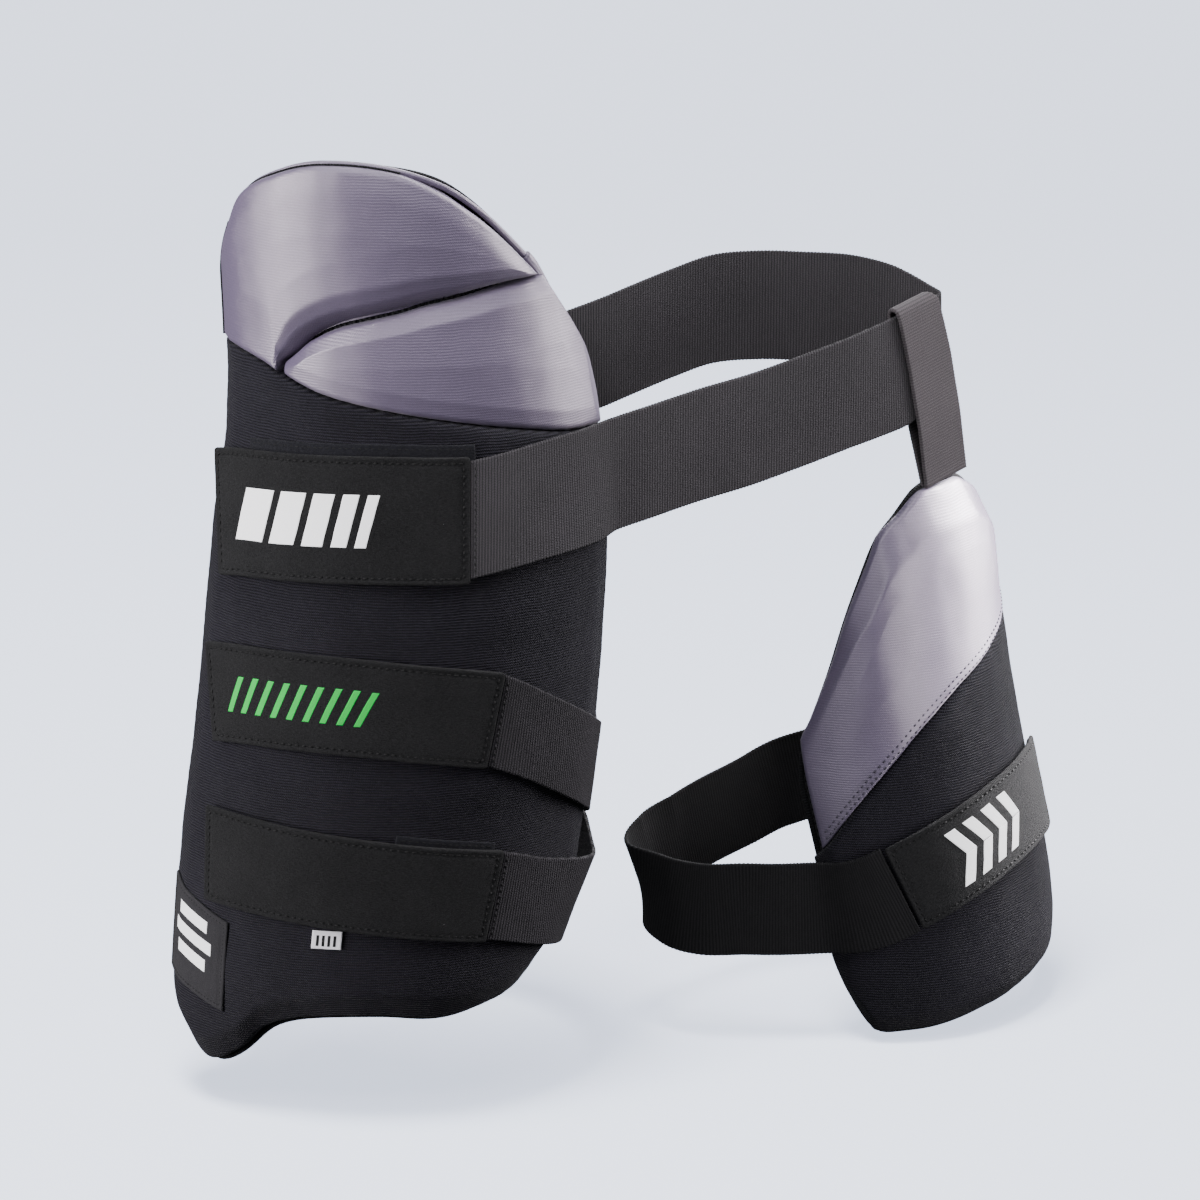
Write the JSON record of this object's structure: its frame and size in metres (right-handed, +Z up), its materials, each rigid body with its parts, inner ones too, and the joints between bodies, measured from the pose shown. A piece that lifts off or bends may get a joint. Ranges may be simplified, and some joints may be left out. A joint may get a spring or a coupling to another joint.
{
  "type": "cricket thigh guard",
  "caption": "Padded outer and inner thigh guards joined by a folded elastic waist strap, with wide elastic thigh straps and stitched fastening tabs.",
  "frame": {"origin": "inside the loop of the waist strap, at the middle of the strap's height, where the wearer's waist passes", "axes": "+Z up along the wearer's body, -Y to the front of the guards, +X from the outer thigh guard to the inner thigh guard"},
  "size_m": [0.3992, 0.2166, 0.4193],
  "materials": {
    "grey_cover": "satin stretch knit over moulded foam",
    "black_cover": "fine ribbed stretch knit over moulded foam",
    "lining": "matte open knit",
    "elastic": "woven elastic webbing",
    "tab": "matte brushed loop cloth",
    "loop_patch": "matte loop pile",
    "badge": "matte moulded with a stitched border",
    "label": "smooth woven tape"
  },
  "bodies": {
    "root": {"outer_lining": "lining", "outer_body": "black_cover", "hip_panel_upper": "grey_cover", "hip_panel_lower": "grey_cover", "waist_patch": "loop_patch", "thigh_patch_upper": "loop_patch", "thigh_patch_lower": "loop_patch", "waist_tab": "tab", "thigh_tab_upper": "tab", "thigh_tab_lower": "tab", "thigh_strap_upper": "elastic", "thigh_strap_lower": "elastic", "waist_strap": "elastic", "badge_patch": "badge", "size_label": "label", "inner_lining": "lining", "inner_body": "black_cover", "inner_panel": "grey_cover", "inner_patch": "loop_patch", "inner_tab": "tab", "inner_strap": "elastic", "hanger_strap": "elastic"}
  },
  "joints": []
}
